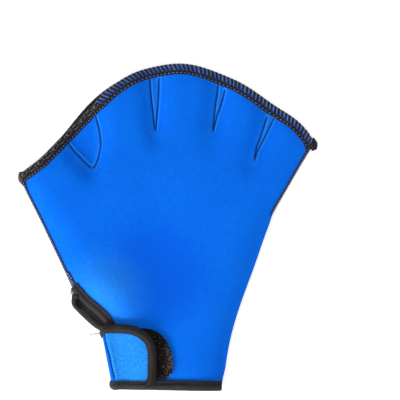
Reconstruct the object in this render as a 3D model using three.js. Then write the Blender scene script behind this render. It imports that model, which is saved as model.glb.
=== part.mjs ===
// A webbed swim glove of knit-faced foam rubber, lying flat with its fingers towards +Y and its
// thumb towards -X. Two panels are sewn along both sides and along the webs between the fingers.
// The finger ends and the wrist stay open, and a strap folds round from the back panel.
import * as THREE from 'three';

const { lerp, clamp, smoothstep } = THREE.MathUtils;

// Outline, in millimetres, measured upwards from the wrist end
const GLOVE_LENGTH = 225;
const SPREAD_WIDTH = 201.9;
const THUMB_CORNER_UP = 148.8;
const LITTLE_CORNER_UP = 170.2;
const WRIST_WIDTH = 69.6;
const WRIST_SHIFT = 3.2;
const HEM_LIFT = 2.4;
const SLIT_UP = 68.6;
const SLIT_REACH = 32.4;
const BACK_LIP = 2.6;

// Sheet and trims
const SHEET = 2.2;
const PINCHED = 1.3;
const STRAP_SHEET = 1.6;
const TRIM_WALL = 0.6;
const CLEARANCE = 0.3;
const FINGER_BAND = 6.6;
const TAPE_WIDTH = 5.4;
const SEAM_WIDTH = 1.8;
const TRIM_SPACING = 0.8;
const PINCH_RAMP = 4.5;
const MOST_SLANT = 1.8;

// Room between the panels, above the closed height
const WRIST_RISE = 6.2;
const HAND_RISE = 7.4;
const FINGER_RISE = 6.4;
const HAND_RISE_UP = 0.45;
const SIDE_ROUND = 22;
const CORNER_ROUND = 13;
const WEB_ROUND = 12;
const SLIT_RAMP = 10;

// Strap and fastener
const STRAP_UP = 43.9;
const STRAP_HEIGHT = 41.6;
const FOLD_OUT = 45.7;
const FOLD_LEAN = 8.9;
const FOLD_SHIFT = 6.5;
const STRAP_LIMB = 1;
const TAB_REACH = 32.6;
const TAB_CORNER = { long: 18, deep: 18 };
const TAB_HEEL = { long: 5.5, deep: 9 };
const LOOP_THICKNESS = 1;
const LOOP_REVEAL = 12.9;
const LOOP_MARGIN = 1.5;
const LOOP_INSET = { top: 1.2, bottom: 5.6 };
const LOOP_CORNER = { long: 18, deep: 25 };
const LOOP_BESIDE_SLIT = 0.25;
const HOOK_THICKNESS = 0.7;
const HOOK_MARGIN = 1.2;
const HOOK_HEEL = { long: 2, deep: 2 };

// Grid cells of the panels, the strap and the fastener patches
const FRONT_CELLS = { across: 27, slit: 5, side: 9 };
const BACK_CELLS = { across: 20, joint: 3, slit: 4, side: 8 };
const STRAP_CELLS = { fold: 6, tab: 4, corner: 6, height: 8 };
const LOOP_CELLS = { flat: 4, corner: 6, height: 6 };
const HOOK_CELLS = { flat: 2, corner: 4, height: 4 };

// Small steps, as a share of an edge and in millimetres, by which directions are worked out
const EDGE_STEP = 0.01;
const INSIDE_STEP = 0.03;
const STRAP_STEP = 0.5;

// Finger edge from thumb corner to little-finger corner: across is a share of the spread, rise a
// share of the arch over the straight line between the corners
const APEX_ACROSS = 0.534;
const FINGER_EDGE = [
  { across: 0, rise: 0 },
  { across: 0.07, rise: 0.131 },
  { across: 0.138, rise: 0.333 },
  { across: 0.24, rise: 0.63 },
  { across: 0.308, rise: 0.817 },
  { across: 0.376, rise: 0.935 },
  { across: 0.443, rise: 0.988 },
  { across: APEX_ACROSS, rise: 1 },
  { across: 0.612, rise: 0.942 },
  { across: 0.747, rise: 0.729 },
  { across: 0.859, rise: 0.454 },
  { across: 0.937, rise: 0.268 },
  { across: 0.98, rise: 0.116 },
  { across: 1, rise: 0 },
];

// Stretch of the finger edge where the back panel peeks out, as shares of the edge
const LIP = { from: 0.13, to: 0.42 };

// Little-finger side from hem to corner: out and up are shares of the way to the corner
const LITTLE_SIDE = [
  { out: 0, up: 0 },
  { out: 0.002, up: 0.05 },
  { out: 0.069, up: 0.188 },
  { out: 0.177, up: 0.33 },
  { out: 0.342, up: 0.504 },
  { out: 0.445, up: 0.621 },
  { out: 0.519, up: 0.694 },
  { out: 0.645, up: 0.775 },
  { out: 0.77, up: 0.856 },
  { out: 0.871, up: 0.921 },
  { out: 1, up: 1 },
];

// Thumb side from the top of the slit to the corner, in the same way
const THUMB_SIDE = [
  { out: 0, up: 0 },
  { out: 0.35, up: 0.343 },
  { out: 0.71, up: 0.687 },
  { out: 0.9, up: 0.858 },
  { out: 1, up: 1 },
];

// Edges of the slit: out is a share of the slit's reach, up a share of its height
const FRONT_SLIT = [
  { out: 0, up: 0 },
  { out: 0.02, up: 0.18 },
  { out: 0.096, up: 0.43 },
  { out: 0.234, up: 0.64 },
  { out: 0.426, up: 0.75 },
  { out: 0.66, up: 0.827 },
  { out: 0.862, up: 0.9 },
  { out: 1, up: 1 },
];
const BACK_SLIT = [
  { out: 0.4, up: 0.572 },
  { out: 0.521, up: 0.61 },
  { out: 0.681, up: 0.692 },
  { out: 0.83, up: 0.76 },
  { out: 0.957, up: 0.803 },
  { out: 1.026, up: 0.849 },
  { out: 1.03, up: 0.91 },
  { out: 1, up: 1 },
];

// Webs where the panels are sewn together: the tip and the finger-edge end of each as shares of
// spread and length, the half width at the edge, and how the width grows from the tip
const WEBS = [
  { tip: [0.247, 0.682], end: [0.206, 0.806], half: 12.4, swell: 0.5 },
  { tip: [0.461, 0.792], end: [0.457, 0.975], half: 3.1, swell: 1 },
  { tip: [0.655, 0.788], end: [0.692, 0.945], half: 2.9, swell: 1 },
  { tip: [0.797, 0.703], end: [0.86, 0.853], half: 2.6, swell: 1 },
];

// Swells and hollows of the front panel: place as shares, radius and rise in millimetres
const DENTS = [
  { across: 0.288, up: 0.295, radius: 24, rise: 2.2 },
  { across: 0.47, up: 0.385, radius: 36, rise: -2.6 },
  { across: 0.62, up: 0.6, radius: 40, rise: 0.7 },
  { across: 0.33, up: 0.62, radius: 30, rise: 0.5 },
];

const TRIM_SPAN = CLEARANCE + TRIM_WALL;
const TRIMMED_GAP = 2 * TRIM_SPAN + 2 * CLEARANCE;
const BACK_TOP = SHEET;
const BACK_EDGE_LOW = BACK_TOP - PINCHED;
const SLIT_EDGE_TOP = BACK_TOP + TRIMMED_GAP + SHEET;
const FASTENER_STACK = LOOP_THICKNESS + HOOK_THICKNESS + 3 * CLEARANCE;
const LIMB_HEIGHT = TRIM_SPAN + STRAP_SHEET / 2;
const TAB_HEIGHT = SLIT_EDGE_TOP + FASTENER_STACK + STRAP_SHEET / 2;
const FOLD_RADIUS = (TAB_HEIGHT - LIMB_HEIGHT) / 2;

const THUMB_CORNER = new THREE.Vector2(-SPREAD_WIDTH / 2, THUMB_CORNER_UP);
const LITTLE_CORNER = new THREE.Vector2(SPREAD_WIDTH / 2, LITTLE_CORNER_UP);
const HEM_END = new THREE.Vector2(WRIST_SHIFT + WRIST_WIDTH / 2, TRIM_SPAN);
const SLIT_FOOT = new THREE.Vector2(WRIST_SHIFT - WRIST_WIDTH / 2, HEM_LIFT);
const SLIT_TOP = new THREE.Vector2(SLIT_FOOT.x - SLIT_REACH, SLIT_UP);

// A point whose shares run from one corner to another
function between(start, end, out, up) {
  return new THREE.Vector2(lerp(start.x, end.x, out), lerp(start.y, end.y, up));
}

function sideCurve(rows, start, end) {
  return new THREE.SplineCurve(rows.map((row) => between(start, end, row.out, row.up)));
}

function fingerPoint(row) {
  const chordAtApex = lerp(THUMB_CORNER_UP, LITTLE_CORNER_UP, APEX_ACROSS);
  const arch = GLOVE_LENGTH - TRIM_SPAN - chordAtApex;
  const point = between(THUMB_CORNER, LITTLE_CORNER, row.across, row.across);
  point.y += arch * row.rise;
  return point;
}

const fingerCurve = new THREE.SplineCurve(FINGER_EDGE.map(fingerPoint));
const littleCurve = sideCurve(LITTLE_SIDE, HEM_END, LITTLE_CORNER);
const thumbCurve = sideCurve(THUMB_SIDE, SLIT_TOP, THUMB_CORNER);
const frontSlitCurve = sideCurve(FRONT_SLIT, SLIT_FOOT, SLIT_TOP);

// Fold line of the strap in plan: it leans out towards the finger side
function foldX(y) {
  const share = (STRAP_UP - y) / STRAP_HEIGHT;
  return -FOLD_OUT + FOLD_LEAN * share;
}

// Where the back panel meets the strap's lower limb, from the hem up to the slit
function jointPoint(y) {
  return new THREE.Vector2(foldX(y) + FOLD_RADIUS + STRAP_LIMB + CLEARANCE, y);
}

const JOINT_FOOT = jointPoint(HEM_LIFT);
const JOINT_TOP = jointPoint(STRAP_UP - FOLD_SHIFT + 2 * TRIM_SPAN + CLEARANCE);
const jointCurve = new THREE.LineCurve(JOINT_FOOT, JOINT_TOP);
const backSlitCurve = new THREE.SplineCurve([
  JOINT_TOP,
  ...BACK_SLIT.map((row) => between(SLIT_FOOT, SLIT_TOP, row.out, row.up)),
]);

// One edge made of several curves end to end: point(share) and the shares of the joints
function chain(curves) {
  const lengths = curves.map((curve) => curve.getLength());
  const total = lengths.reduce((sum, length) => sum + length, 0);
  const ends = lengths.map((_, k) => lengths.slice(0, k + 1).reduce((a, b) => a + b) / total);
  function point(share) {
    const k = Math.min(ends.findIndex((end) => share <= end + 1e-9), curves.length - 1);
    const start = k > 0 ? ends[k - 1] : 0;
    return curves[k].getPointAt(clamp((share - start) / (ends[k] - start), 0, 1));
  }
  return { point, joints: ends.slice(0, -1) };
}

function backFingerPoint(u) {
  const point = fingerCurve.getPointAt(u);
  const tangent = fingerCurve.getTangentAt(u);
  const share = clamp((u - LIP.from) / (LIP.to - LIP.from), 0, 1);
  const lip = BACK_LIP * Math.sin(Math.PI * share) ** 2;
  return point.add(new THREE.Vector2(-tangent.y, tangent.x).multiplyScalar(lip));
}

const frontLeft = chain([frontSlitCurve, thumbCurve]);
const backLeft = chain([jointCurve, backSlitCurve, thumbCurve]);
const frontOutline = {
  left: frontLeft.point,
  right: (v) => littleCurve.getPointAt(v),
  hem: (u) => SLIT_FOOT.clone().lerp(HEM_END, u),
  fingers: (u) => fingerCurve.getPointAt(u),
};
const backOutline = {
  left: backLeft.point,
  right: (v) => littleCurve.getPointAt(v),
  hem: (u) => JOINT_FOOT.clone().lerp(HEM_END, u),
  fingers: backFingerPoint,
};

// A point inside four edge curves, blended between opposite edges
function outlinePoint(outline, u, v) {
  const point = outline.left(v).multiplyScalar(1 - u);
  point.addScaledVector(outline.right(v), u);
  point.addScaledVector(outline.hem(u), 1 - v);
  point.addScaledVector(outline.fingers(u), v);
  point.addScaledVector(outline.hem(0), -(1 - u) * (1 - v));
  point.addScaledVector(outline.hem(1), -u * (1 - v));
  point.addScaledVector(outline.fingers(0), -(1 - u) * v);
  point.addScaledVector(outline.fingers(1), -u * v);
  return point;
}

// Even stops strictly between two distances
function evenStops(from, to, cells) {
  return Array.from({ length: cells - 1 }, (_, k) => lerp(from, to, (k + 1) / cells));
}

function columnStops(width, cells, slant) {
  const left = [0, SEAM_WIDTH, TAPE_WIDTH, TAPE_WIDTH + PINCH_RAMP].map((stop) => stop * slant);
  const right = [0, SEAM_WIDTH, SEAM_WIDTH + PINCH_RAMP].map((stop) => width - stop).reverse();
  return [...left, ...evenStops(left.at(-1), right[0], cells), ...right];
}

// Rows from hem to finger edge, with a close pair of rows at each joint of the left edge
function rowStops(height, joints, cells, slant) {
  const hem = TAPE_WIDTH + TRIM_SPACING;
  const band = (FINGER_BAND + TRIM_SPACING) * slant;
  const stops = [0, TAPE_WIDTH, hem, hem + PINCH_RAMP];
  joints.forEach((joint, k) => {
    const middle = joint * height;
    const low = middle - TRIM_SPACING / 2;
    stops.push(...evenStops(stops.at(-1), low, cells[k]), low, middle + TRIM_SPACING / 2);
  });
  const last = height - band - PINCH_RAMP;
  stops.push(...evenStops(stops.at(-1), last, cells.at(-1)), last);
  stops.push(height - band, height - FINGER_BAND * slant, height);
  return stops;
}

// How much longer a grid line's way is than the straight way in from an edge that it meets aslant
function slantAt(edge, share, inside) {
  const ahead = edge(Math.min(share + EDGE_STEP, 1));
  const along = ahead.sub(edge(Math.max(share - EDGE_STEP, 0))).normalize();
  const inwards = inside.sub(edge(share)).normalize();
  return Math.min(1 / Math.abs(along.cross(inwards)), MOST_SLANT);
}

// Grid of plan points with each one's distances from the four edges
function planGrid(outline, joints, acrossCells, rowCells) {
  const columns = columnStops(1, acrossCells, 1).length;
  const rows = rowStops(1, joints, rowCells, 1).length;
  const grid = [];
  for (let i = 0; i < columns; i += 1) {
    grid.push([]);
    for (let j = 0; j < rows; j += 1) {
      const roughV = j / (rows - 1);
      const roughWidth = outline.left(roughV).distanceTo(outline.right(roughV));
      const roughU = columnStops(roughWidth, acrossCells, 1)[i] / roughWidth;
      const height = outline.hem(roughU).distanceTo(outline.fingers(roughU));
      const belowTop = outlinePoint(outline, roughU, 1 - INSIDE_STEP);
      const topSlant = slantAt(outline.fingers, roughU, belowTop);
      const v = rowStops(height, joints, rowCells, topSlant)[j] / height;
      const width = outline.left(v).distanceTo(outline.right(v));
      const sideSlant = slantAt(outline.left, v, outlinePoint(outline, INSIDE_STEP, v));
      const u = columnStops(width, acrossCells, sideSlant)[i] / width;
      const point = outlinePoint(outline, u, v);
      grid[i].push({
        x: point.x,
        y: point.y,
        v,
        left: (u * width) / sideSlant,
        right: (1 - u) * width,
        hem: v * height,
        fingers: ((1 - v) * height) / topSlant,
      });
    }
  }
  return grid;
}

// 1 inside a trimmed zone of the given width, fading to 0 over the ramp
function trimmed(distance, zone, fade) {
  return 1 - smoothstep(distance, zone, zone + fade);
}

// Thickness of a panel: squeezed under its trims and full elsewhere
function sheetThickness(spot, slitShare) {
  const sideZone = spot.v < slitShare ? TAPE_WIDTH : SEAM_WIDTH;
  const squeeze = Math.max(
    trimmed(spot.left, sideZone, PINCH_RAMP),
    trimmed(spot.right, SEAM_WIDTH, PINCH_RAMP),
    trimmed(spot.hem, TAPE_WIDTH, PINCH_RAMP),
    trimmed(spot.fingers, FINGER_BAND, PINCH_RAMP),
  );
  return lerp(SHEET, PINCHED, squeeze);
}

// Rounded rise from a closed line to full height
function swell(distance, round) {
  return 1 - (1 - clamp(distance / round, 0, 1)) ** 2;
}

function sharePoint([across, up]) {
  return new THREE.Vector2((across - 0.5) * SPREAD_WIDTH, up * GLOVE_LENGTH);
}

// 0 where a web holds the panels together, rising to 1 beside it
function webOpening(spot, web) {
  const tip = sharePoint(web.tip);
  const spine = sharePoint(web.end).sub(tip);
  const offset = new THREE.Vector2(spot.x, spot.y).sub(tip);
  const share = clamp(offset.dot(spine) / spine.lengthSq(), 0, 1);
  const distance = offset.distanceTo(spine.clone().multiplyScalar(share));
  return swell(distance - web.half * share ** web.swell, WEB_ROUND);
}

function dentRise(spot, dent) {
  const centre = sharePoint([dent.across, dent.up]);
  const share = centre.distanceTo(new THREE.Vector2(spot.x, spot.y)) / dent.radius;
  return share < 1 ? dent.rise * Math.cos((Math.PI / 2) * share) ** 2 : 0;
}

// Height of the room between the panels
function roomHeight(spot, slitShare, slitHeight) {
  const aboveSlit = (spot.v - slitShare) * slitHeight;
  const slit = trimmed(aboveSlit, 0, SLIT_RAMP) * trimmed(spot.left, TAPE_WIDTH, PINCH_RAMP);
  const edges = Math.max(
    slit,
    trimmed(spot.hem, TAPE_WIDTH, PINCH_RAMP),
    trimmed(spot.fingers, FINGER_BAND, PINCH_RAMP),
  );
  const lower = lerp(WRIST_RISE, HAND_RISE, smoothstep(spot.v, 0, HAND_RISE_UP));
  const upper = lerp(HAND_RISE, FINGER_RISE, smoothstep(spot.v, HAND_RISE_UP, 1));
  let rise = spot.v < HAND_RISE_UP ? lower : upper;
  DENTS.forEach((dent) => {
    rise += dentRise(spot, dent);
  });
  const round = lerp(SIDE_ROUND, CORNER_ROUND, smoothstep(spot.v, HAND_RISE_UP, 1));
  rise *= swell(spot.left, round) * swell(spot.right, round);
  WEBS.forEach((web) => {
    rise *= webOpening(spot, web);
  });
  return CLEARANCE + Math.hypot(edges * (TRIMMED_GAP - CLEARANCE), rise);
}

const [FRONT_SLIT_SHARE] = frontLeft.joints;
const BACK_SLIT_SHARE = backLeft.joints[1];
const thumbSideLength = frontSlitCurve.getLength() + thumbCurve.getLength();

const frontGrid = planGrid(
  frontOutline,
  frontLeft.joints,
  FRONT_CELLS.across,
  [FRONT_CELLS.slit, FRONT_CELLS.side],
);
frontGrid.flat().forEach((spot) => {
  spot.low = BACK_TOP + roomHeight(spot, FRONT_SLIT_SHARE, thumbSideLength);
  spot.high = spot.low + sheetThickness(spot, FRONT_SLIT_SHARE);
});

const backGrid = planGrid(
  backOutline,
  backLeft.joints,
  BACK_CELLS.across,
  [BACK_CELLS.joint, BACK_CELLS.slit, BACK_CELLS.side],
);
backGrid.flat().forEach((spot) => {
  spot.high = BACK_TOP;
  spot.low = BACK_TOP - sheetThickness(spot, BACK_SLIT_SHARE);
});

// Weights of a plan point in a triangle of grid spots, or null outside it
function planWeights(x, y, a, b, c) {
  const area = (b.x - a.x) * (c.y - a.y) - (c.x - a.x) * (b.y - a.y);
  const wb = ((x - a.x) * (c.y - a.y) - (c.x - a.x) * (y - a.y)) / area;
  const wc = ((b.x - a.x) * (y - a.y) - (x - a.x) * (b.y - a.y)) / area;
  const slack = -1e-6;
  return wb >= slack && wc >= slack && wb + wc <= 1 - slack ? [1 - wb - wc, wb, wc] : null;
}

// The front panel's spot over a plan point; outside the panel the nearest spot counts
function spotAt(x, y) {
  for (let i = 0; i + 1 < frontGrid.length; i += 1) {
    for (let j = 0; j + 1 < frontGrid[i].length; j += 1) {
      const start = frontGrid[i][j];
      const far = frontGrid[i + 1][j + 1];
      for (const middle of [frontGrid[i + 1][j], frontGrid[i][j + 1]]) {
        const weights = planWeights(x, y, start, middle, far);
        if (weights) {
          const mix = (key) => (
            weights[0] * start[key] + weights[1] * middle[key] + weights[2] * far[key]
          );
          return Object.fromEntries(Object.keys(start).map((key) => [key, mix(key)]));
        }
      }
    }
  }
  const near = (spot) => Math.hypot(spot.x - x, spot.y - y);
  return frontGrid.flat().reduce((best, spot) => (near(spot) < near(best) ? spot : best));
}

// Smooth height of the front panel's upper face, full sheet and trims counted alike. Past the hem
// the height at the hem goes on
function panelHeight(x, y) {
  const hem = lerp(SLIT_FOOT.y, HEM_END.y, (x - SLIT_FOOT.x) / WRIST_WIDTH);
  const spot = spotAt(x, Math.max(y, hem));
  return BACK_TOP + roomHeight(spot, FRONT_SLIT_SHARE, thumbSideLength) + SHEET;
}

// A geometry from points and triangles, turned so that its faces point out
function solidGeometry(points, triangles) {
  const geometry = new THREE.BufferGeometry().setFromPoints(points);
  let volume = 0;
  triangles.forEach(([a, b, c]) => {
    volume += points[a].dot(points[b].clone().cross(points[c]));
  });
  const turned = volume > 0 ? triangles : triangles.map(([a, b, c]) => [a, c, b]);
  geometry.setIndex(turned.flat());
  geometry.computeVertexNormals();
  return geometry;
}

// A closed sheet between two grids of points that share their plan
function sheetSolid(top, bottom) {
  const columns = top.length;
  const rows = top[0].length;
  const points = [...top.flat(), ...bottom.flat()];
  const upper = (i, j) => i * rows + j;
  const lower = (i, j) => columns * rows + i * rows + j;
  const triangles = [];
  const quad = (a, b, c, d) => triangles.push([a, b, c], [a, c, d]);
  for (let i = 0; i + 1 < columns; i += 1) {
    for (let j = 0; j + 1 < rows; j += 1) {
      quad(upper(i, j), upper(i + 1, j), upper(i + 1, j + 1), upper(i, j + 1));
      triangles.push([lower(i, j), lower(i + 1, j + 1), lower(i + 1, j)]);
      triangles.push([lower(i, j), lower(i, j + 1), lower(i + 1, j + 1)]);
    }
  }
  for (let i = 0; i + 1 < columns; i += 1) {
    quad(upper(i, 0), lower(i, 0), lower(i + 1, 0), upper(i + 1, 0));
    quad(upper(i + 1, rows - 1), lower(i + 1, rows - 1), lower(i, rows - 1), upper(i, rows - 1));
  }
  for (let j = 0; j + 1 < rows; j += 1) {
    quad(upper(0, j + 1), lower(0, j + 1), lower(0, j), upper(0, j));
    const last = columns - 1;
    quad(upper(last, j), lower(last, j), lower(last, j + 1), upper(last, j + 1));
  }
  return solidGeometry(points, triangles);
}

function panelSolid(grid) {
  const face = (key) => grid.map((column) => column.map((s) => new THREE.Vector3(s.x, s.y, s[key])));
  return sheetSolid(face('high'), face('low'));
}

// One cross-section of a trim that wraps a sheet's edge, as its outer and inner lines. Its rail
// runs from the trim's inner border to the edge, each stop with the sheet's two faces there
function trimSection({ rail, out }) {
  const edge = rail.at(-1);
  const nose = edge.top.clone().lerp(edge.bottom, 0.5);
  const line = (span, shoulder) => {
    const lifted = (stop, face, side) => {
      const point = stop[face].clone().addScaledVector(stop.up, side * span);
      return stop === edge ? point.addScaledVector(out, shoulder) : point;
    };
    return [
      ...rail.map((stop) => lifted(stop, 'top', 1)),
      nose.clone().addScaledVector(out, span),
      ...rail.map((stop) => lifted(stop, 'bottom', -1)).reverse(),
    ];
  };
  return { outer: line(TRIM_SPAN, CLEARANCE + TRIM_WALL / 4), inner: line(CLEARANCE, CLEARANCE) };
}

// A trim swept through its cross-sections, closed at both ends. Its faces are split along the same
// diagonals as the sheet's: outwards along the path where diagonalsOut is true, else inwards
function trimSolid(stations, diagonalsOut) {
  const sections = stations.map(trimSection);
  const half = sections[0].outer.length;
  const ring = 2 * half;
  const points = sections.flatMap(({ outer, inner }) => [...outer, ...inner.slice().reverse()]);
  const triangles = [];
  const quad = (a, b, c, d) => triangles.push([a, b, c], [a, c, d]);
  for (let s = 0; s + 1 < sections.length; s += 1) {
    for (let k = 0; k < ring; k += 1) {
      const corners = [s * ring + k, s * ring + ((k + 1) % ring)];
      corners.push(corners[1] + ring, corners[0] + ring);
      const towardsEdge = k % half < (half - 1) / 2;
      if (towardsEdge === diagonalsOut) {
        quad(...corners);
      } else {
        quad(corners[1], corners[2], corners[3], corners[0]);
      }
    }
  }
  const last = (sections.length - 1) * ring;
  for (let k = 0; k + 1 < half; k += 1) {
    const inner = ring - 1 - k;
    quad(k, inner, inner - 1, k + 1);
    quad(last + k, last + k + 1, last + inner - 1, last + inner);
  }
  return solidGeometry(points, triangles);
}

const UP = new THREE.Vector3(0, 0, 1);

// Stations along a panel's edge, one for each rail of grid spots that ends on the edge; outwards
// is 1 where the panel lies to the left of the path
function edgeStations(rails, outwards, lowest) {
  const edge = rails.map((rail) => rail.at(-1));
  return rails.map((rail, k) => {
    const before = edge[Math.max(k - 1, 0)];
    const after = edge[Math.min(k + 1, edge.length - 1)];
    const out = new THREE.Vector3(after.y - before.y, before.x - after.x, 0);
    const stops = rail.map((spot) => ({
      top: new THREE.Vector3(spot.x, spot.y, spot.high),
      bottom: new THREE.Vector3(spot.x, spot.y, lowest ?? spot.low),
      up: UP,
    }));
    return { rail: stops, out: out.normalize().multiplyScalar(outwards) };
  });
}

const lastRow = (grid) => grid[0].length - 1;
function fingerOverlock(grid) {
  const rails = grid.map((column) => column.slice(lastRow(grid) - 1));
  return trimSolid(edgeStations(rails, -1), true);
}

function hemTape(grid) {
  const rails = grid.map((column) => [column[1], column[0]]);
  return trimSolid(edgeStations(rails, 1), false);
}

// Index of the row just above a joint of the left edge
function rowAbove(grid, joint) {
  return grid[0].findIndex((spot) => spot.v > joint);
}

// Rails across the left edge's tape between two rows
function leftTapeRails(grid, first, end) {
  return grid[0].slice(first, end).map((spot, k) => [grid[2][first + k], grid[1][first + k], spot]);
}

function sideSeam(edgeColumn, innerColumn, firstRow, outwards) {
  const end = lastRow(frontGrid) - 1;
  const rails = [];
  for (let j = firstRow; j < end; j += 1) {
    rails.push([frontGrid[innerColumn][j], frontGrid[edgeColumn][j]]);
  }
  return trimSolid(edgeStations(rails, outwards, BACK_EDGE_LOW), outwards > 0);
}

function frontSlitTape() {
  const end = rowAbove(frontGrid, FRONT_SLIT_SHARE);
  return trimSolid(edgeStations(leftTapeRails(frontGrid, 2, end), -1), false);
}

function backSlitTape() {
  const first = rowAbove(backGrid, backLeft.joints[0]);
  const end = rowAbove(backGrid, BACK_SLIT_SHARE);
  return trimSolid(edgeStations(leftTapeRails(backGrid, first, end), -1), false);
}

// The strap as a sheet: along runs from its joint with the back panel round the fold to the tab's
// end, 0 at the outermost line of the fold; down runs from its finger-side edge towards the wrist
const HALF_FOLD = (Math.PI / 2) * FOLD_RADIUS;
const STRAP_START = -HALF_FOLD - STRAP_LIMB;
const TAB_END = TAB_REACH - FOLD_RADIUS + HALF_FOLD;

// Plan point of the tab; its columns follow the leaning fold and stand upright at the end
function tabPlan(along, down) {
  const y = STRAP_UP - down;
  const lean = lerp(foldX(y), foldX(STRAP_UP - STRAP_HEIGHT / 2), clamp(along / TAB_END, 0, 1));
  return new THREE.Vector2(lean + FOLD_RADIUS + along - HALF_FOLD, y);
}

function strapMiddle(along, down) {
  const y = STRAP_UP - down;
  if (along < -HALF_FOLD) {
    return new THREE.Vector3(foldX(y) + FOLD_RADIUS - along - HALF_FOLD, y, LIMB_HEIGHT);
  }
  if (along < HALF_FOLD) {
    const angle = along / FOLD_RADIUS;
    const lean = tabPlan(HALF_FOLD, down).x - foldX(y) - FOLD_RADIUS;
    const x = foldX(y) + FOLD_RADIUS * (1 - Math.cos(angle));
    const z = (LIMB_HEIGHT + TAB_HEIGHT) / 2 + FOLD_RADIUS * Math.sin(angle);
    return new THREE.Vector3(x + (lean * (along + HALF_FOLD)) / (2 * HALF_FOLD), y, z);
  }
  const plan = tabPlan(along, down);
  const z = panelHeight(plan.x, plan.y) + FASTENER_STACK + STRAP_SHEET / 2;
  return new THREE.Vector3(plan.x, plan.y, z);
}

function strapNormal(along, down) {
  const forward = strapMiddle(along + STRAP_STEP, down).sub(strapMiddle(along - STRAP_STEP, down));
  const sideways = strapMiddle(along, down + STRAP_STEP).sub(strapMiddle(along, down - STRAP_STEP));
  return sideways.cross(forward).normalize();
}

// How far a rounded corner has cut in at a distance before the end
function cornerCut(beforeEnd, corner) {
  const share = clamp(1 - beforeEnd / corner.long, 0, 1);
  return corner.deep * (1 - Math.sqrt(1 - share ** 2));
}

// Columns of [along, down] places with two rounded corners at the far end
function tabColumns(stops, end, edges, corner, heel, rows) {
  return stops.map((along) => {
    const top = edges.top(along) + cornerCut(end - along, corner);
    const bottom = edges.bottom - cornerCut(end - along, heel);
    return Array.from({ length: rows + 1 }, (_, k) => [along, lerp(top, bottom, k / rows)]);
  });
}

// Stops that crowd towards the end, where the corner is round
function cornerStops(end, corner, cells) {
  const angle = (k) => ((Math.PI / 2) * k) / cells;
  return Array.from({ length: cells + 1 }, (_, k) => end - corner.long * (1 - Math.sin(angle(k))));
}

function strapColumns() {
  const flat = TAB_END - TAB_CORNER.long;
  const fold = Array.from({ length: STRAP_CELLS.fold + 1 }, (_, k) => (
    lerp(-HALF_FOLD, HALF_FOLD, k / STRAP_CELLS.fold)
  ));
  const tab = evenStops(HALF_FOLD, flat, STRAP_CELLS.tab);
  const stops = [STRAP_START, ...fold, ...tab, ...cornerStops(TAB_END, TAB_CORNER, STRAP_CELLS.corner)];
  const top = (along) => FOLD_SHIFT * (1 - smoothstep(along, -HALF_FOLD, HALF_FOLD));
  const edges = { top, bottom: STRAP_HEIGHT };
  return tabColumns(stops, TAB_END, edges, TAB_CORNER, TAB_HEEL, STRAP_CELLS.height);
}

const strapGrid = strapColumns();

function strapFace(offset) {
  return strapGrid.map((column) => column.map(([along, down]) => (
    strapMiddle(along, down).addScaledVector(strapNormal(along, down), offset)
  )));
}

// The tape runs along the strap's upper edge, round its end and back along its lower edge
function strapTape() {
  const last = strapGrid.length - 1;
  const path = [
    ...strapGrid.map((column) => column[0]),
    ...strapGrid[last].slice(1, -1),
    ...strapGrid.map((column) => column.at(-1)).reverse(),
  ];
  const stop = (along, down) => {
    const up = strapNormal(along, down);
    const middle = strapMiddle(along, down);
    const face = (side) => middle.clone().addScaledVector(up, (side * STRAP_SHEET) / 2);
    return { top: face(1), bottom: face(-1), up };
  };
  const stations = path.map(([along, down], k) => {
    const before = path[Math.max(k - 1, 0)];
    const after = path[Math.min(k + 1, path.length - 1)];
    const turn = along > HALF_FOLD ? after[1] - before[1] : 0;
    const tangent = new THREE.Vector2(after[0] - before[0], turn).normalize();
    const inner = (width) => [along - tangent.y * width, down + tangent.x * width];
    const out = strapMiddle(along, down).sub(strapMiddle(...inner(1))).normalize();
    return { rail: [stop(...inner(TAPE_WIDTH)), stop(along, down)], out };
  });
  return trimSolid(stations, false);
}

// A fastener patch between two heights over the front panel
function patchSolid(columns, lowOver, highOver) {
  const face = (over) => columns.map((column) => column.map(([along, down]) => {
    const plan = tabPlan(along, down);
    return new THREE.Vector3(plan.x, plan.y, panelHeight(plan.x, plan.y) + over);
  }));
  return sheetSolid(face(highOver), face(lowOver));
}

// Where the fastener starts, just past the tape of the slit
const besideSlit = frontSlitCurve.getPointAt(LOOP_BESIDE_SLIT);
const LOOP_START = besideSlit.x + TAPE_WIDTH + LOOP_MARGIN
  - foldX(STRAP_UP - STRAP_HEIGHT / 2) - FOLD_RADIUS + HALF_FOLD;

function loopPatch() {
  const end = TAB_END + LOOP_REVEAL;
  const flat = evenStops(LOOP_START, end - LOOP_CORNER.long, LOOP_CELLS.flat);
  const stops = [LOOP_START, ...flat, ...cornerStops(end, LOOP_CORNER, LOOP_CELLS.corner)];
  const edges = { top: () => LOOP_INSET.top, bottom: STRAP_HEIGHT - LOOP_INSET.bottom };
  const columns = tabColumns(stops, end, edges, LOOP_CORNER, TAB_HEEL, LOOP_CELLS.height);
  return patchSolid(columns, CLEARANCE, CLEARANCE + LOOP_THICKNESS);
}

function hookPatch() {
  const inset = TAPE_WIDTH + HOOK_MARGIN;
  const end = TAB_END - inset;
  const corner = { long: TAB_CORNER.long - inset, deep: TAB_CORNER.deep - inset };
  const start = HALF_FOLD + HOOK_MARGIN;
  const flat = evenStops(start, end - corner.long, HOOK_CELLS.flat);
  const stops = [start, ...flat, ...cornerStops(end, corner, HOOK_CELLS.corner)];
  const edges = { top: () => inset, bottom: STRAP_HEIGHT - inset };
  const columns = tabColumns(stops, end, edges, corner, HOOK_HEEL, HOOK_CELLS.height);
  const low = LOOP_THICKNESS + 2 * CLEARANCE;
  return patchSolid(columns, low, low + HOOK_THICKNESS);
}

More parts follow.
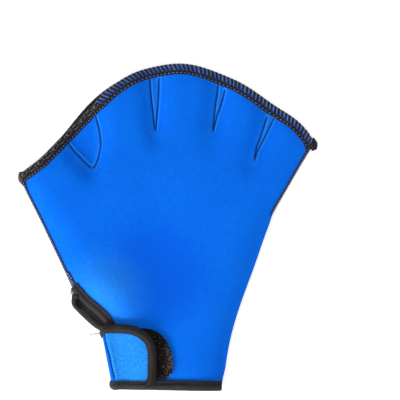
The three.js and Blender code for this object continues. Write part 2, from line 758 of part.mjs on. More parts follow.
const sheetBlue = new THREE.MeshStandardMaterial({ color: 0x0a6ee6, roughness: 0.85, metalness: 0 });
const strapBlue = new THREE.MeshStandardMaterial({ color: 0x2a93ff, roughness: 0.75, metalness: 0 });
const tapeBlack = new THREE.MeshStandardMaterial({ color: 0x24211f, roughness: 0.85, metalness: 0 });
const threadBlack = new THREE.MeshStandardMaterial({ color: 0x1a1a1c, roughness: 0.8, metalness: 0 });
const loopBlack = new THREE.MeshStandardMaterial({ color: 0x2a2725, roughness: 0.95, metalness: 0 });

const glove = new THREE.Group();

function addPiece(name, geometry, material) {
  const mesh = new THREE.Mesh(geometry, material);
  mesh.name = name;
  glove.add(mesh);
}

const firstSeamRow = rowAbove(frontGrid, FRONT_SLIT_SHARE);
const lastColumn = frontGrid.length - 1;

addPiece('back_panel', panelSolid(backGrid), sheetBlue);
addPiece('front_panel', panelSolid(frontGrid), sheetBlue);
addPiece('front_finger_overlock', fingerOverlock(frontGrid), threadBlack);
addPiece('back_finger_overlock', fingerOverlock(backGrid), threadBlack);
addPiece('thumb_side_seam', sideSeam(0, 1, firstSeamRow, -1), threadBlack);
addPiece('little_finger_side_seam', sideSeam(lastColumn, lastColumn - 1, 2, 1), threadBlack);
addPiece('front_slit_binding', frontSlitTape(), tapeBlack);
addPiece('back_slit_binding', backSlitTape(), tapeBlack);
addPiece('front_hem_binding', hemTape(frontGrid), tapeBlack);
addPiece('back_hem_binding', hemTape(backGrid), tapeBlack);
addPiece('closure_strap', sheetSolid(strapFace(STRAP_SHEET / 2), strapFace(-STRAP_SHEET / 2)), strapBlue);
addPiece('strap_binding', strapTape(), tapeBlack);
addPiece('loop_patch', loopPatch(), loopBlack);
addPiece('hook_patch', hookPatch(), loopBlack);

// The origin is the middle of the glove's base
const box = new THREE.Box3().setFromObject(glove);
const middle = box.getCenter(new THREE.Vector3());
glove.position.set(-middle.x, -middle.y, -box.min.z);

export default glove;
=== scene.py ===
# %% [markdown]
# A webbed swim glove, lying flat with its fingers towards +Y and its thumb towards -X. The real
# one is two panels of knit-faced foam rubber, sewn together down the sides and along the webs
# between the fingers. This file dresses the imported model: each cloth, tape and thread is built
# over the solid that stands for it, so everything keeps its place and size.

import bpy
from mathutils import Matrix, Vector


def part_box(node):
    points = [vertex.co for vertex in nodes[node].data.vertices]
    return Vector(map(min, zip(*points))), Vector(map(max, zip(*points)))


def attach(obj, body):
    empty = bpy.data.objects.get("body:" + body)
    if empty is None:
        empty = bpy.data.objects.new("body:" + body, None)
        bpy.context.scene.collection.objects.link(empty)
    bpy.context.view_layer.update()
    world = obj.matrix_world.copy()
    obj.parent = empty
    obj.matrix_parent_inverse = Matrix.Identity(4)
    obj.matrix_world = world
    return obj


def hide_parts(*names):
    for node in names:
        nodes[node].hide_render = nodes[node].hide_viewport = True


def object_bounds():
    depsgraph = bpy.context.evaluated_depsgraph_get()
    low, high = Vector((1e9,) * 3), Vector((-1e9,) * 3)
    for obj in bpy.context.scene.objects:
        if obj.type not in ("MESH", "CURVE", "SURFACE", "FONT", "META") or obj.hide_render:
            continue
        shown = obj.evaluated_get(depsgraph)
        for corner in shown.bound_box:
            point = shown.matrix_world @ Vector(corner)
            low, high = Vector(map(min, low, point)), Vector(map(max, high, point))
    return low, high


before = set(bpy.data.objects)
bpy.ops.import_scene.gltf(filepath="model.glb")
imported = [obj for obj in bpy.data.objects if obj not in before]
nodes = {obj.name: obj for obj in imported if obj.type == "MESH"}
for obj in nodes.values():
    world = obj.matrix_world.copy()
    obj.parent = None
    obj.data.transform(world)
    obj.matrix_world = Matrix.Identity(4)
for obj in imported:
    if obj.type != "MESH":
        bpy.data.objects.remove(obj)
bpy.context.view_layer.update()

# %% [markdown]
# Everything is in metres, and sizes are written in millimetres times MM. The random source is
# seeded, so each run gives the same threads and fuzz.

# %% Units and tools
import math
import random
from bisect import bisect_right

import bmesh
import bpy
from mathutils import Matrix, Quaternion, Vector, noise
from mathutils.bvhtree import BVHTree
from mathutils.kdtree import KDTree

MM = 0.001
UP = Vector((0, 0, 1))
scene = bpy.context.scene
chance = random.Random(11)


def bell(distance, width):
    """1 at no distance, falling off smoothly: about a third at that width."""
    return math.exp(-((distance / width) ** 2))


print("CAD nodes:", len(nodes))

# %% [markdown]
# The photo looks straight down on the glove. A long lens from far away keeps the outline free of
# perspective. Its length follows from the height and the width that the picture covers.

# %% Camera
PICTURE_WIDTH = 275.6 * MM
PICTURE_CENTRE = Vector((22.6, 18.3, 5)) * MM
CAMERA_HEIGHT = 1.6
SENSOR_WIDTH = 36

lens = bpy.data.cameras.new("straight_above")
lens.sensor_width = SENSOR_WIDTH
lens.lens = SENSOR_WIDTH * CAMERA_HEIGHT / PICTURE_WIDTH
camera = bpy.data.objects.new("straight_above", lens)
camera.location = PICTURE_CENTRE + UP * CAMERA_HEIGHT
scene.collection.objects.link(camera)
scene.camera = camera
print("lens in mm:", round(lens.lens))

# %% [markdown]
# A product photo on white has large soft lights, so shadows stay pale. One panel hangs over the
# glove, and one to the lower left gives the tape and the strap a lit and a dark side. The plain
# colour transform keeps the saturated blue.

# %% Lights
LIGHTS = {"overhead": {"size": 1.8, "place": (0.2, 0.5, 2.2), "power": 15},
          "side": {"size": 1.3, "place": (-2.4, -2.7, 1.5), "power": 165}}
SKY_STRENGTH = 0.36


def soft_light(name, size, place, power):
    light = bpy.data.lights.new(name, "AREA")
    light.size = size
    light.energy = power
    lamp = bpy.data.objects.new(name, light)
    lamp.location = place
    lamp.rotation_euler = (-Vector(place)).to_track_quat("-Z", "Y").to_euler()
    scene.collection.objects.link(lamp)


for name, light in LIGHTS.items():
    soft_light(name, **light)
scene.world = bpy.data.worlds.new("studio")
scene.world.use_nodes = True
sky = scene.world.node_tree.nodes["Background"].inputs
sky["Color"].default_value = (1, 1, 1, 1)
sky["Strength"].default_value = SKY_STRENGTH
scene.view_settings.view_transform = "Standard"
print("lights:", *LIGHTS)

# %% [markdown]
# A finish is a small program of nodes. Writing it as Python keeps it short: a Value is one output
# of a node, and plus, minus and times on Values add the Math nodes for it. Any other node comes
# from Finish.node, which takes its settings first and then what goes into its sockets.

# %% Shader values
WAVE_PHASE = 20  # the wave texture multiplies its coordinates by this


class Value:
    """One number that varies over a surface."""

    def __init__(self, finish, socket):
        self.finish, self.socket = finish, socket

    def math(self, operation, first, second):
        settings = {"operation": operation}
        return self.finish.node("ShaderNodeMath", settings, {0: first, 1: second})

    def __add__(self, other):
        return self.math("ADD", self, other)

    def __sub__(self, other):
        return self.math("SUBTRACT", self, other)

    def __rsub__(self, other):
        return self.math("SUBTRACT", other, self)

    def __mul__(self, other):
        return self.math("MULTIPLY", self, other)

    __radd__ = __add__
    __rmul__ = __mul__


class Finish:
    """One material on the Principled shader, with its nodes."""

    def __init__(self, name, **constants):
        self.material = bpy.data.materials.new(name)
        self.material.use_nodes = True
        self.tree = self.material.node_tree
        self.shader = self.tree.nodes["Principled BSDF"]
        for socket, value in constants.items():
            self.shader.inputs[socket.replace("_", " ")].default_value = value

    def node(self, kind, settings, inputs, output=0):
        made = self.tree.nodes.new(kind)
        for setting, value in settings.items():
            setattr(made, setting, value)
        for socket, value in inputs.items():
            self.feed(made.inputs[socket], value)
        return Value(self, made.outputs[output])

    def feed(self, socket, value):
        if isinstance(value, Value):
            self.tree.links.new(value.socket, socket)
        else:
            socket.default_value = value

    def coordinates(self, output="Object"):
        return self.node("ShaderNodeTexCoord", {}, {}, output)

    def noise(self, where, size, detail=3):
        """Cloudy noise from 0 to 1, whose spots are about that size."""
        inputs = {"Vector": where, "Scale": 1 / size, "Detail": detail}
        return self.node("ShaderNodeTexNoise", {}, inputs, "Fac")

    def bands(self, where, width, direction, waviness=0):
        """Ribs from 0 to 1, each as wide as given."""
        settings = {"wave_type": "BANDS", "bands_direction": direction}
        inputs = {"Vector": where, "Scale": math.tau / WAVE_PHASE / width, "Distortion": waviness}
        return self.node("ShaderNodeTexWave", settings, inputs, "Fac")

    def spot(self, where, centre, radius):
        """1 at the centre of a soft round spot, fading to 0 at its radius."""
        inputs = {0: where, 1: centre}
        away = self.node("ShaderNodeVectorMath", {"operation": "DISTANCE"}, inputs, "Value")
        settings = {"interpolation_type": "SMOOTHSTEP"}
        inputs = {"Value": away, "From Min": 0, "From Max": radius, "To Min": 1, "To Max": 0}
        return self.node("ShaderNodeMapRange", settings, inputs)

    def mix(self, factor, low, high):
        inputs = {"Factor": factor, 6: low, 7: high}
        return self.node("ShaderNodeMix", {"data_type": "RGBA"}, inputs, 2)

    def paint(self, factor, low, high):
        self.feed(self.shader.inputs["Base Color"], self.mix(factor, low, high))

    def rough(self, value):
        self.feed(self.shader.inputs["Roughness"], value)

    def relief(self, height, depth):
        inputs = {"Height": height, "Distance": depth, "Strength": 1}
        bump = self.node("ShaderNodeBump", {}, inputs)
        self.feed(self.shader.inputs["Normal"], bump)


print("finishes are made by Finish")

# %% [markdown]
# The panels are foam rubber with a nylon knit glued on. Seen close, the knit is rows of tiny
# loops, half a millimetre wide, so the finish has fine ribs across faint clouds of colour. On the
# front, a painted highlight makes the knit paler where it bulges, and a painted shade makes it
# darker over the hollow of the palm. In a line beside each web seam it is paler too, partly as knit
# pulled apart and partly as a painted highlight; the line comes from an attribute that the seams
# write. The strap is brushed so that hooks can grip it, which makes it paler, softer and more
# mottled.

# %% Blue knit finishes
KNIT = {"rib": 0.6 * MM, "wave": 1.5, "cloud": 25 * MM, "grain": 1.6 * MM, "relief": 0.12 * MM,
        "gloss": 0.06, "sheen": 0.06}
PANEL_BLUES = (0.0005, 0.12, 0.80, 1), (0.002, 0.20, 0.98, 1)
STRAP_BLUES = (0.006, 0.19, 0.80, 1), (0.03, 0.36, 1, 1)
# Painted highlight colour: the paler blue of the lit bulge, and of the lines beside the web seams,
# which are partly stretched knit.
HIGHLIGHT_AND_STRETCH_BLUE = (0.03, 0.34, 0.98, 1)
# Painted highlight: a soft paler spot over the bulge at the front's lower left.
BULGE_HIGHLIGHT = (Vector((-44, -46, 8)) * MM, 40 * MM)
# Painted shade: a soft darker spot over the hollow of the palm.
HOLLOW_SHADE = (Vector((-6, -32, 8)) * MM, 50 * MM)
# Name of the attribute for the paler seam lines: partly stretched knit, partly painted highlight.
PULL_AND_HIGHLIGHT = "stretch"


def knit_finish(name, blues, brushed, painted_light_and_stretch=False):
    finish = Finish(name, Sheen_Weight=KNIT["sheen"] * brushed, Specular_IOR_Level=KNIT["gloss"])
    where = finish.coordinates()
    courses, wales = (finish.bands(where, KNIT["rib"], way, KNIT["wave"]) for way in "XY")
    ribs = courses * wales
    clouds = finish.noise(where, KNIT["cloud"])
    grain = finish.noise(where, KNIT["grain"], 5)
    shade = clouds * 0.4 + grain * (1.2 + 0.5 * brushed) + ribs * 0.3 - 0.35 - 0.25 * brushed
    # Only the front gets painted light: a highlight on the bulge and beside the web seams, a shade
    # over the palm's hollow.
    if painted_light_and_stretch:
        # Painted shade over the hollow of the palm.
        shade = shade - finish.spot(where, *HOLLOW_SHADE) * 0.9
        # The seam lines' weight: partly stretched knit, partly painted highlight.
        pulled_and_lit_line = finish.node("ShaderNodeAttribute", {"attribute_name": PULL_AND_HIGHLIGHT}, {}, "Fac")
        # Painted highlight on the bulge, plus the paler lines beside the web seams.
        highlight_and_stretch = finish.spot(where, *BULGE_HIGHLIGHT) * (grain * 0.7 + 0.2) + pulled_and_lit_line * 0.55
        finish.paint(highlight_and_stretch, finish.mix(shade, *blues), HIGHLIGHT_AND_STRETCH_BLUE)
    else:
        finish.paint(shade, *blues)
    finish.rough(0.72 + grain * 0.2)
    finish.relief(ribs * (1 - 0.6 * brushed) + grain * (0.5 + 1.5 * brushed), KNIT["relief"])
    return finish.material


panel_knit = knit_finish("blue_knit", PANEL_BLUES, 0)
# The front's knit carries the painted highlight and painted shade.
front_knit = knit_finish("lit_and_pulled_blue_knit", PANEL_BLUES, 0, True)
strap_knit = knit_finish("brushed_blue_knit", STRAP_BLUES, 1)
print("knits:", panel_knit.name, front_knit.name, strap_knit.name)

# %% [markdown]
# The tape is woven polyester, folded over the raw edge. Its yarns run along it, so its ribs follow
# the tape's own UV map, where U is millimetres along and V is millimetres across. The sewing
# thread is a fuzzy black yarn.

# %% Black finishes
TAPE_BLACKS = (0.004, 0.0035, 0.003, 1), (0.022, 0.019, 0.017, 1)
TAPE_GLOSS = 0.3
TAPE_RELIEF = 0.12 * MM
THREAD_BLACKS = (0.002, 0.002, 0.0025, 1), (0.030, 0.024, 0.028, 1)
THREAD_GLOSS = 0.25
THREAD_FUZZ = 0.8 * MM
THREAD_RELIEF = 0.15 * MM


def tape_finish():
    finish = Finish("woven_tape", Specular_IOR_Level=TAPE_GLOSS)
    uv = finish.coordinates("UV")
    ribs = finish.bands(uv, 0.9, "Y", 0.6)
    weft = finish.bands(uv, 0.5, "X", 1)
    wear = finish.noise(finish.coordinates(), 5 * MM, 4)
    finish.paint(ribs * 0.45 + wear * 0.6 + weft * 0.12, *TAPE_BLACKS)
    finish.rough(0.48 + wear * 0.2)
    finish.relief(ribs + weft * 0.5, TAPE_RELIEF)
    return finish.material


def thread_finish(name, shades, twist=0.5 * MM):
    finish = Finish(name, Specular_IOR_Level=THREAD_GLOSS)
    where = finish.coordinates()
    strands = finish.bands(where, twist, "DIAGONAL", 3)
    fuzz = finish.noise(where, THREAD_FUZZ, 4)
    finish.paint(strands * 0.5 + fuzz * 0.5, *shades)
    finish.rough(0.5 + fuzz * 0.25)
    finish.relief(strands + fuzz, THREAD_RELIEF)
    return finish.material


tape_weave = tape_finish()
black_thread = thread_finish("black_thread", THREAD_BLACKS)
print("black finishes:", tape_weave.name, black_thread.name)

# %% [markdown]
# A CAD solid is loose triangles. A copy of it is merged and paired back into four-sided faces, and
# each face is marked as the outer side, the inner side or the rim of its sheet. Subdivision Surface
# then rounds it, as cloth is round, with the rim creased so that the cut edge stays in its place.

# %% Smooth copies of the CAD solids
MERGE = 0.001 * MM
OUTER, INNER, RIM = 1, 2, 0
SHARP_FOLD = math.radians(58)
RIM_SLOPE = 0.4
PAIRING = {"angle_face_threshold": math.pi, "angle_shape_threshold": math.pi,
           "topology_influence": 1.5}


def sharp(edge):
    return len(edge.link_faces) == 2 and edge.calc_face_angle() > SHARP_FOLD


def opened(mesh):
    """A bmesh with what a mesh holds."""
    bm = bmesh.new()
    bm.from_mesh(mesh)
    return bm


def closed(name, bm):
    """The mesh of a finished bmesh."""
    mesh = bpy.data.meshes.new(name)
    bm.to_mesh(mesh)
    bm.free()
    return mesh


def new_piece(name, bm, *finishes):
    """Gives a bmesh its object, shaded smooth apart from its sharp folds."""
    for face in bm.faces:
        face.smooth = True
    for edge in bm.edges:
        edge.smooth = not sharp(edge)
    piece = bpy.data.objects.new(name, closed(name, bm))
    scene.collection.objects.link(piece)
    for finish in finishes:
        piece.data.materials.append(finish)
    return piece


def subdivide(piece, levels):
    smoother = piece.modifiers.new("smooth", "SUBSURF")
    smoother.levels = smoother.render_levels = levels


def mark_flat_sides(bm, side):
    """Marks a sheet that lies flat by which way its faces look."""
    for face in bm.faces:
        face[side] = RIM
        if abs(face.normal.z) > RIM_SLOPE:
            face[side] = OUTER if face.normal.z > 0 else INNER


def mark_folded_sides(bm, side):
    """Marks a folded sheet: each side is a large patch of faces with no sharp fold in it."""
    left = set(bm.faces)
    patches = []
    while left:
        waiting = [left.pop()]
        patches.append(set(waiting))
        while waiting:
            beside = [e for e in waiting.pop().edges if not sharp(e)]
            new = {f for e in beside for f in e.link_faces} & left
            left -= new
            patches[-1] |= new
            waiting += new
    patches.sort(key=len)
    highest = max(bm.faces, key=lambda f: f.calc_center_median().z)
    sides = sorted(patches[-2:], key=lambda patch: highest in patch)
    for mark, patch in zip((INNER, OUTER), sides):
        for face in patch:
            face[side] = mark


def smooth_copy(node, name, finish, mark_sides):
    bm = opened(nodes[node].data)
    bmesh.ops.remove_doubles(bm, verts=bm.verts, dist=MERGE)
    bmesh.ops.join_triangles(bm, faces=bm.faces, **PAIRING)
    bm.normal_update()
    side = bm.faces.layers.int.new("side")
    mark_sides(bm, side)
    crease = bm.edges.layers.float.new("crease_edge")
    for edge in bm.edges:
        edge[crease] = float(len({f[side] for f in edge.link_faces}) > 1)
    piece = new_piece(name, bm, finish)
    subdivide(piece, levels=2)
    graph = bpy.context.evaluated_depsgraph_get()
    piece.data = bpy.data.meshes.new_from_object(piece.evaluated_get(graph))
    piece.modifiers.clear()
    print(name, len(piece.data.polygons), "faces")
    return piece


front_cloth = smooth_copy("front_panel", "front_cloth", front_knit, mark_flat_sides)
back_cloth = smooth_copy("back_panel", "back_cloth", panel_knit, mark_flat_sides)
strap_cloth = smooth_copy("closure_strap", "strap_cloth", strap_knit, mark_folded_sides)

# %% [markdown]
# Between the fingers the panels are sewn together along lines that narrow to a point, which makes
# the webs. Each line of stitches pulls the foam into a groove. Only the cloth beside a line is cut
# into finer faces, whose points are pressed in by their distance from the line. A weight for the
# paler line beside each seam, partly knit pulled apart and partly a painted highlight, is written
# down as an attribute for its finish.

# %% Web seams
WEB_SEAMS = {
    "thumb_outer": [(-68.7, 58.2), (-64.6, 52.6), (-60.1, 47.9), (-56.6, 44.2), (-52.6, 40.8)],
    "thumb_inner": [(-49.4, 76.0), (-47.7, 70.5), (-46.2, 62.5), (-45.8, 55.5), (-47.4, 47.5),
                    (-49.4, 42.4), (-51.2, 40.6)],
    "middle_outer": [(-11.9, 102.3), (-11.2, 90.6), (-9.9, 79.0), (-8.6, 66.9)],
    "middle_inner": [(-5.6, 102.3), (-5.9, 92.0), (-6.5, 82.0), (-7.9, 66.4)],
    "ring_outer": [(35.0, 97.5), (34.5, 91.0), (33.3, 83.7), (31.5, 66.5)],
    "ring_inner": [(39.8, 94.0), (38.2, 87.5), (36.4, 81.6), (34.2, 75.5), (31.8, 66.0)],
    "little_outer": [(68.8, 75.4), (66.6, 68.5), (64.0, 60.5), (61.9, 55.5), (60.1, 46.6)],
    "little_inner": [(73.6, 74.8), (71.5, 70.5), (68.2, 63.5), (62.8, 53.0), (60.3, 46.0)],
}
STRAP_SEAM = {
    "strap_crease": [(-42.9, -73.8), (-41.5, -81.6), (-39.4, -88.5), (-38.0, -96.1),
                     (-36.0, -103.9)],
}
SEAM_STEP = 0.3 * MM
SEAM_START = {"fade": 5 * MM, "share": 0.2}
FACING = 0.5
GROOVE = {"depth": 0.95 * MM, "width": 0.75 * MM}
CREST = {"height": 0.34 * MM, "away": 1.9 * MM, "width": 1.1 * MM}
PUCKER = {"depth": 0.12 * MM, "pitch": 2.1 * MM}
# Where the paler line beside a seam lies: partly pulled knit, partly painted highlight.
PULLED_AND_LIT = {"away": 1.15 * MM, "width": 0.45 * MM}
REFINED = [4.5 * MM, 2.4 * MM]


def smooth_line(points, step):
    """Points at an even step along a smooth curve through a few points."""
    ends = [points[0]] + list(points) + [points[-1]]
    line = []
    for before, a, b, after in zip(ends, ends[1:], ends[2:], ends[3:]):
        count = max(1, round((b - a).length / step))
        for i in range(count):
            s = i / count
            curve, twist = 2 * before - 5 * a + 4 * b - after, 3 * (a - b) + after - before
            bend = curve * s * s + twist * s ** 3
            line.append(a + ((b - before) * s + bend) / 2)
    return line + [points[-1]]


class Seams:
    """Lines of stitches across a sheet, from a table of points in millimetres."""

    def __init__(self, table):
        self.lines = {name: smooth_line([Vector((x, y, 0)) * MM for x, y in points], SEAM_STEP)
                      for name, points in table.items()}
        self.points = [(p, i * SEAM_STEP) for line in self.lines.values()
                       for i, p in enumerate(line)]
        self.search = KDTree(len(self.points))
        for number, (point, _) in enumerate(self.points):
            self.search.insert(point, number)
        self.search.balance()

    def near(self, place):
        """How far a place is from the nearest line, and how far along that line."""
        _, number, distance = self.search.find((place.x, place.y, 0))
        return distance, self.points[number][1]


def seam_rise(distance, along):
    """How the stitches move the cloth: a groove with puckers, and a soft crest beside it."""
    groove = bell(distance, GROOVE["width"]) * GROOVE["depth"]
    crest = bell(distance - CREST["away"], CREST["width"]) * CREST["height"]
    pucker = math.sin(math.tau * along / PUCKER["pitch"]) * PUCKER["depth"]
    rise = crest - groove + pucker * bell(distance, CREST["away"])
    return rise * min(1, along / SEAM_START["fade"] + SEAM_START["share"])


def press_seams(piece, seams, side):
    """Sews the lines into one side of a sheet: side is 1 for what looks up and -1 for down."""
    bm = opened(piece.data)
    pulled_and_lit_line = bm.verts.layers.float.new(PULL_AND_HIGHLIGHT)
    for reach in REFINED:
        close = [e for e in bm.edges if min(v.normal.z * side for v in e.verts) > FACING
                 and seams.near((e.verts[0].co + e.verts[1].co) / 2)[0] < reach]
        bmesh.ops.subdivide_edges(bm, edges=close, cuts=1, use_grid_fill=True)
    bm.normal_update()
    moved = 0
    for vert in bm.verts:
        if vert.normal.z * side > FACING:
            distance, along = seams.near(vert.co)
            if distance < REFINED[0]:
                vert.co += vert.normal * seam_rise(distance, along)
                # The paler line beside the seam, partly pulled knit and partly a painted highlight.
                vert[pulled_and_lit_line] = bell(distance - PULLED_AND_LIT["away"], PULLED_AND_LIT["width"])
                moved += 1
    bm.to_mesh(piece.data)
    bm.free()
    print(piece.name, "has", moved, "points near seams,", len(piece.data.polygons), "faces")


web_seams = Seams(WEB_SEAMS)
strap_seam = Seams(STRAP_SEAM)
press_seams(front_cloth, web_seams, 1)
press_seams(back_cloth, web_seams, -1)
press_seams(strap_cloth, strap_seam, 1)

# %% [markdown]
# The paler strap is sewn on along its crease. What lies before the crease, round the fold and
# below, is still the deep blue of the panels.

# %% Panel cloth before the strap's crease
LIMB_TOP = 6 * MM

strap_cloth.data.materials.append(panel_knit)
painted = 0
for face in strap_cloth.data.polygons:
    beside = min(strap_seam.lines["strap_crease"], key=lambda p: abs(p.y - face.center.y))
    if face.center.x < beside.x or face.center.z < LIMB_TOP:
        face.material_index = 1
        painted += 1
print("strap faces of panel cloth:", painted)

# %% [markdown]
# The trims follow the edges of the cloth. To find them, the border of a side is walked round once,
# with the cloth on the left hand, as a sewer feeds it.

# %% Sides and borders of a sheet
def tree_of(faces):
    """A search tree over some faces of a bmesh."""
    corners = {v: i for i, v in enumerate({v for f in faces for v in f.verts})}
    polygons = [[corners[v] for v in f.verts] for f in faces]
    return BVHTree.FromPolygons([v.co for v in corners], polygons)


def border_of(faces):
    """The points round a side, in order, with the side on the left."""
    after = {}
    for face in faces:
        for loop in face.loops:
            if not any(other in faces for other in loop.edge.link_faces if other is not face):
                after[loop.vert] = loop.link_loop_next.vert
    ring = [min(after, key=lambda v: v.co.y)]
    while after[ring[-1]] is not ring[0]:
        ring.append(after[ring[-1]])
    return [v.co.copy() for v in ring]


class Sheet:
    """A piece of cloth with its two sides and the border of its outer side."""

    def __init__(self, piece, outer, inner):
        bm = opened(piece.data)
        side = bm.faces.layers.int["side"]
        sides = {mark: {f for f in bm.faces if f[side] == mark} for mark in (OUTER, INNER)}
        self.outer, self.inner = tree_of(sides[outer]), tree_of(sides[inner])
        self.border = border_of(sides[outer])
        print(piece.name, "outer faces:", len(sides[outer]), "border:", len(self.border))
        bm.free()


sheets = {"front": Sheet(front_cloth, OUTER, INNER), "back": Sheet(back_cloth, INNER, OUTER),
          "strap": Sheet(strap_cloth, OUTER, INNER)}

# %% [markdown]
# Down the little finger's side the front panel rolls a little over the seam and hides it. The
# sheet's sides were read before this, so the seam stays in place under the rolled edge.

# %% Rolled edge of the front panel
ROLL_LINE = [(72.0, 14.0), (67.5, -4.0), (62.0, -24.0), (54.0, -50.0), (46.0, -78.0),
             (38.5, -104.5)]
ROLL = {"out": 1.5 * MM, "reach": 3.5 * MM, "ramp": 14 * MM, "last": 0.3}
ROLL_WAY = Vector((0.96, -0.28, 0))

roll = Seams({"roll": ROLL_LINE})
whole = len(roll.points) * SEAM_STEP
for vert in front_cloth.data.vertices:
    distance, along = roll.near(vert.co)
    share = min(1, along / ROLL["ramp"], max(0, whole - along) / ROLL["ramp"] + ROLL["last"])
    out = ROLL["out"] * share * bell(distance, ROLL["reach"])
    vert.co += ROLL_WAY * out
print("rolled edge in mm:", round(whole / MM))

# %% [markdown]
# A trim is easiest to model flat and straight, and then to lay round its edge, as a sewing machine
# does. An Edge is the ruler for that: t runs along the edge, u goes inwards over the cloth, and w
# rises from the middle of the cloth to either side. What is laid with it follows the cloth's two
# faces in each bulge and dent. The stretch of border under each CAD trim gets a ruler of its own,
# and a stretch that runs on round a sharp corner is cut there.

# %% Rulers along the edges
HALF_SHEET = 1 * MM
SMOOTH_REACH = 3
STEADY_END = 5 * MM
CORNER_REACH = 12 * MM
CORNER_ARM = 2.5 * MM
CORNER_TURN = math.radians(35)


class Edge:
    """A ruler along an edge, from its points on the upper face and the trees of both faces."""

    def __init__(self, over, under, tops):
        self.over, self.under, self.tops = over, under, tops
        self.bottoms = [under.find_nearest(p)[0] for p in tops]
        self.middles = [(a + b) / 2 for a, b in zip(tops, self.bottoms)]
        self.marks = [0.0]
        for a, b in zip(self.middles, self.middles[1:]):
            self.marks.append(self.marks[-1] + (b - a).length)
        self.length = self.marks[-1]
        last = len(tops) - 1
        ahead = [self.middles[min(i + SMOOTH_REACH, last)] for i in range(last + 1)]
        behind = [self.middles[max(i - SMOOTH_REACH, 0)] for i in range(last + 1)]
        self.ways = [(a - b).normalized() for a, b in zip(ahead, behind)]
        steady = min(bisect_right(self.marks, STEADY_END), last // 2)
        self.ways[:steady] = [self.ways[steady]] * steady
        steady = max(bisect_right(self.marks, self.length - STEADY_END), last // 2)
        self.ways[steady:] = [self.ways[steady]] * (last + 1 - steady)

    def frame_at(self, t):
        """The middle of the edge at t, the ways along, inwards and up, and half its thickness."""
        i = min(max(bisect_right(self.marks, t) - 1, 0), len(self.marks) - 2)
        share = (t - self.marks[i]) / (self.marks[i + 1] - self.marks[i])
        part = min(max(share, 0), 1)
        middle = self.middles[i].lerp(self.middles[i + 1], share)
        top = self.tops[i].lerp(self.tops[i + 1], part)
        bottom = self.bottoms[i].lerp(self.bottoms[i + 1], part)
        way = self.ways[i].lerp(self.ways[i + 1], part).normalized()
        inwards = (top - bottom).cross(way).normalized()
        return middle, way, inwards, way.cross(inwards), (top - bottom).length / 2

    def place(self, t, u, w):
        """Where a point of a flat trim comes to lie."""
        middle, _, inwards, up, half = self.frame_at(t)
        spot = middle + inwards * u
        if u > 0:
            top = self.over.find_nearest(spot + up * half)[0]
            bottom = self.under.find_nearest(spot - up * half)[0]
            spot = (top + bottom) / 2
            up = (top - bottom).normalized()
            half = (top - bottom).length / 2
        if abs(w) <= HALF_SHEET:
            return spot + up * (w / HALF_SHEET * half)
        return spot + up * math.copysign(half + abs(w) - HALF_SHEET, w)


def turn_at(points, i):
    """How sharply a row of points turns, seen some way before and after one of them."""
    here = points[i]
    before = next((p for p in points[i::-1] if (p - here).length > CORNER_ARM), here)
    after = next((p for p in points[i:] if (p - here).length > CORNER_ARM), here)
    return (here - before).angle(after - here, 0)


def cut_at_corners(points):
    """Takes off what lies past a sharp corner close to either end."""
    for _ in range(2):
        points = points[::-1]
        close = [i for i, p in enumerate(points) if (p - points[0]).length < CORNER_REACH]
        corner = max(close, key=lambda i: turn_at(points, i))
        if turn_at(points, corner) > CORNER_TURN:
            points = points[corner:]
    return points


def border_runs(sheet, names):
    """Splits the border of a sheet into the points under each CAD trim."""
    trees = {name: BVHTree.FromBMesh(opened(nodes[name].data)) for name in names}
    nearest = [min(names, key=lambda n: trees[n].find_nearest(p)[3]) for p in sheet.border]
    count = len(nearest)
    start = next(i for i in range(count) if nearest[i] != nearest[i - 1])
    runs = []
    for i in range(start, start + count):
        name, point = nearest[i % count], sheet.border[i % count]
        if not runs or runs[-1][0] != name:
            runs.append((name, []))
        runs[-1][1].append(point)
    longest = {name: max((r for n, r in runs if n == name), key=len) for name, _ in runs}
    return {name: cut_at_corners(points) for name, points in longest.items()}


SIDE_SEAMS = ["thumb_side_seam", "little_finger_side_seam"]
TRIMS = {layer: [layer + end for end in ("_finger_overlock", "_slit_binding", "_hem_binding")]
         + SIDE_SEAMS for layer in ("front", "back")}
TRIMS["back"].append("closure_strap")
TRIMS["strap"] = ["strap_binding", "back_panel"]

runs, edges = {}, {}
for layer, sheet in sheets.items():
    runs[layer] = border_runs(sheet, TRIMS[layer])
    for name, points in runs[layer].items():
        if name.startswith(layer):
            edges[name] = Edge(sheet.outer, sheet.inner, points)
print("edges in mm:", {name: round(edge.length / MM) for name, edge in edges.items()})

# %% [markdown]
# A folded tape covers the raw edges at the slit, the hem and, narrower, round the strap. Flat, it
# is one grid with its yarns along it. It is folded into a C over the edge, pressed in along its
# stitches, and gets its thickness from Solidify. Its UV map keeps the flat millimetres.

# %% Folded tapes
TAPE = {"lift": 0.35 * MM, "thick": 0.55 * MM, "step": 0.8 * MM, "rows": 30}
TAPE_WIDTH = {"front_slit": 5.4 * MM, "front_hem": 5.4 * MM, "back_slit": 8.4 * MM,
              "back_hem": 5.4 * MM, "strap": 4.3 * MM}
TAPE_START = {"front_slit": -2.5 * MM}
TAPE_STITCH = {"margin": 1.1 * MM, "pitch": 2.6 * MM, "long": 1.7 * MM, "thick": 0.5 * MM}
TAPE_BACK = 0.6
DIMPLE = {"depth": 0.4 * MM, "width": 0.6 * MM, "rest": 0.6}
RIDGE = {"height": 0.75 * MM, "in": 1.5 * MM, "width": 1.3 * MM, "wave": 9 * MM, "plump": 0.9}
SWAY = {"out": 0.35 * MM, "wave": 7 * MM, "scallop": 0.22 * MM}


def fold_over(across, width, lift):
    """Where a point across a flat tape lies once folded: inwards and up."""
    radius = HALF_SHEET + lift
    quarter = radius * math.pi / 2
    girth = abs(across) * (quarter + width)
    if girth < quarter:
        angle = girth / radius
        out = -lift - radius * TAPE_BACK * math.cos(angle)
        return out, math.copysign(radius * math.sin(angle), across)
    return girth - quarter, math.copysign(radius, across)


